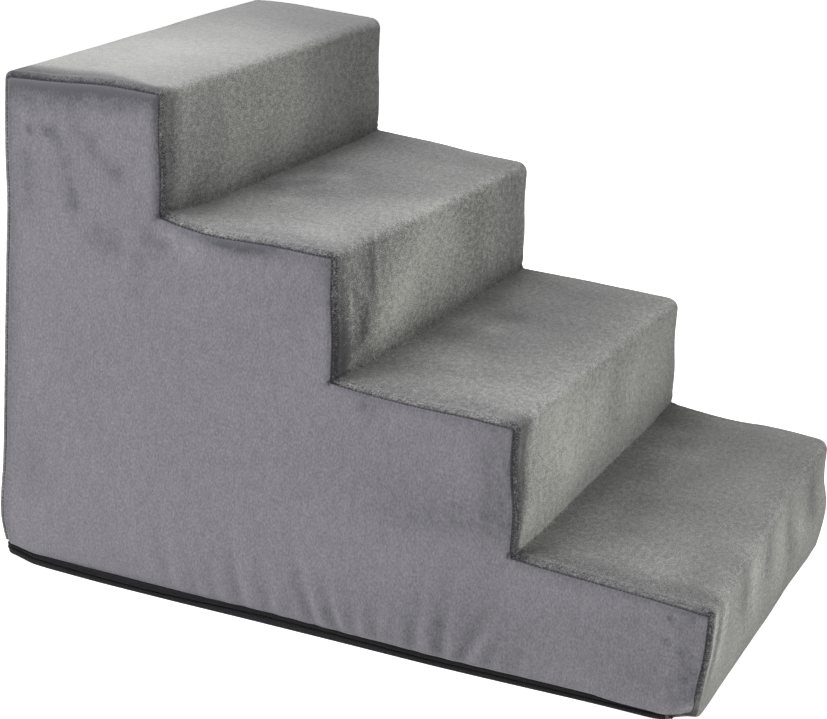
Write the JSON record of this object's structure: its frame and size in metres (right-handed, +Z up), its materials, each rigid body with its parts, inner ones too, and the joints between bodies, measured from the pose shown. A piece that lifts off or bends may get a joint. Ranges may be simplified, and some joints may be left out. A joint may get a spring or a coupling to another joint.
{
  "type": "pet stairs",
  "caption": "Soft foam stairs for a small pet, filled with stacked foam slabs in a zipped velour cover with rounded edges and a dark base.",
  "frame": {"origin": "on the floor, under the middle of the stairs", "axes": "+X towards the low end, so the stairs climb towards -X; +Y across the steps, towards the right-hand side when climbing; +Z up"},
  "size_m": [0.6, 0.4, 0.41],
  "materials": {
    "velour_side": "matte",
    "velour_strip": "matte",
    "base_cloth": "matte",
    "foam": "matte",
    "thread": "matte",
    "zip_tape": "matte",
    "zip_coil": "satin",
    "zip_metal": "satin"
  },
  "bodies": {
    "stairs": {"left_side_panel": "velour_side", "right_side_panel": "velour_side", "tread_strip": "velour_strip", "base_panel": "base_cloth", "foam_slab_1": "foam", "foam_slab_2": "foam", "foam_slab_3": "foam", "foam_slab_4": "foam", "left_seam_thread": "thread", "right_seam_thread": "thread", "front_hem_thread": "thread", "zip_thread_upper": "thread", "zip_thread_lower": "thread", "zip_tape_upper": "zip_tape", "zip_tape_lower": "zip_tape", "zip_coil_upper": "zip_coil", "zip_coil_lower": "zip_coil", "zip_top_stops": "zip_metal", "zip_bottom_stop": "zip_metal"},
    "slider": {"zip_slider": "zip_metal"},
    "pull_tab": {"zip_pull_tab": "zip_metal"}
  },
  "joints": [
    {"name": "slider_run", "type": "slide", "parent": "stairs", "child": "slider", "axis": [-1, 0, 0], "range_m": [0, 0.5417]},
    {"name": "tab_swing", "type": "hinge", "parent": "slider", "child": "pull_tab", "pos_m": [0.2697, 0.19791, 0.0059], "axis": [0, 0, -1], "range_deg": [0, 180]}
  ]
}
